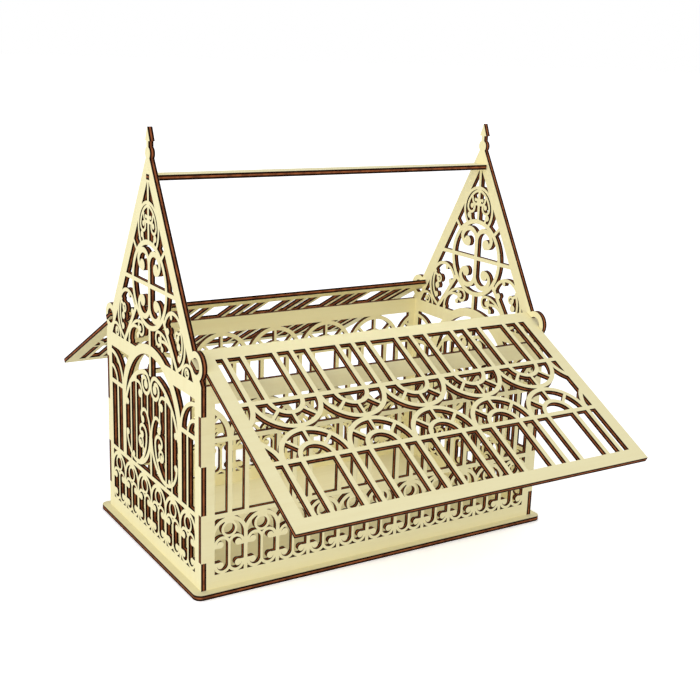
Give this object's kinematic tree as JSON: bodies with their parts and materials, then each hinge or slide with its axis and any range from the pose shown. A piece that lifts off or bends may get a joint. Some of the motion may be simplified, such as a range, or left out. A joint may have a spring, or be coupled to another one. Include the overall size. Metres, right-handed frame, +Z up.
{
  "type": "plywood model greenhouse with opening roof panels",
  "caption": "Model greenhouse of fretwork plywood sheets, finger-jointed on a base plate, with a ridge bar and lattice roof panels that swing open on tabs.",
  "frame": {"origin": "on the ground under the middle of the base plate", "axes": "+X along the ridge, -Y towards the front, +Z up"},
  "size_m": [0.3126, 0.429, 0.3184],
  "materials": {
    "plywood": "bare birch plywood with scorched cut edges"
  },
  "bodies": {
    "house": {"base_plate": "plywood", "left_end_wall": "plywood", "right_end_wall": "plywood", "front_wall": "plywood", "back_wall": "plywood", "ridge_bar": "plywood"},
    "front_panel": {"front_roof_panel": "plywood"},
    "back_panel": {"back_roof_panel": "plywood"}
  },
  "joints": [
    {"name": "front_roof_hinge", "type": "hinge", "parent": "house", "child": "front_panel", "pos_m": [0, -0.0808, 0.166], "axis": [-1, 0, 0], "range_deg": [-17.5, 148.8]},
    {"name": "back_roof_hinge", "type": "hinge", "parent": "house", "child": "back_panel", "pos_m": [0, 0.0808, 0.166], "axis": [1, 0, 0], "range_deg": [-17.5, 148.8]}
  ]
}
